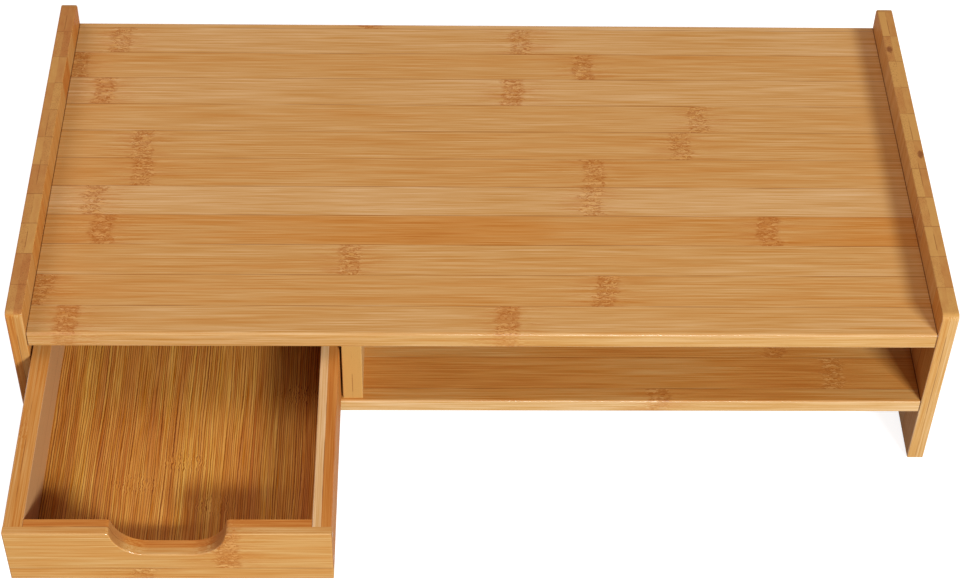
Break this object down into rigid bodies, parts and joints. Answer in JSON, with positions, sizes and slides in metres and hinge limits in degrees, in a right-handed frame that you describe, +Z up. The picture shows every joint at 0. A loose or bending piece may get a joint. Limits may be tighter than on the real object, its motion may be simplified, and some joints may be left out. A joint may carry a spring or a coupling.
{
  "type": "monitor stand with drawer",
  "caption": "Low bamboo desk riser: flat top shelf between side panels with raised lips, an open bay and a pull-out drawer with a finger notch on the lower shelf.",
  "frame": {"origin": "under the middle of the whole riser with its drawer drawn out as at rest, on the desk's surface", "axes": "+X to the user's right, +Y to the back of the riser, +Z up; the drawer opens along -Y"},
  "size_m": [0.6, 0.446, 0.1422],
  "materials": {
    "riser_bamboo": "satin lacquered bamboo strips",
    "drawer_bamboo": "satin lacquered bamboo strips",
    "drawer_floor_bamboo": "dark narrow-grained bamboo, matt",
    "dowel_wood": "plain turned wood",
    "fastener_steel": "zinc-plated steel",
    "pad_rubber": "matt soft pad"
  },
  "bodies": {
    "riser": {"left_side_panel": "riser_bamboo", "right_side_panel": "riser_bamboo", "top_shelf": "riser_bamboo", "lower_shelf": "riser_bamboo", "divider": "riser_bamboo", "drawer_stop_rail": "riser_bamboo", "top_shelf_screws": "fastener_steel", "top_shelf_dowels": "dowel_wood", "lower_shelf_screws": "fastener_steel", "lower_shelf_dowels": "dowel_wood", "divider_screws": "fastener_steel", "divider_dowels": "dowel_wood", "stop_rail_screws": "fastener_steel", "anti_slip_pads": "pad_rubber"},
    "drawer": {"drawer_front": "drawer_bamboo", "drawer_left_side": "drawer_bamboo", "drawer_right_side": "drawer_bamboo", "drawer_back": "drawer_bamboo", "drawer_floor": "drawer_floor_bamboo", "drawer_front_nails": "fastener_steel", "drawer_back_nails": "fastener_steel", "drawer_floor_screws": "fastener_steel"}
  },
  "joints": [
    {"name": "drawer_slide", "type": "slide", "parent": "riser", "child": "drawer", "axis": [0, -1, 0], "range_m": [-0.1445, 0.062]}
  ]
}
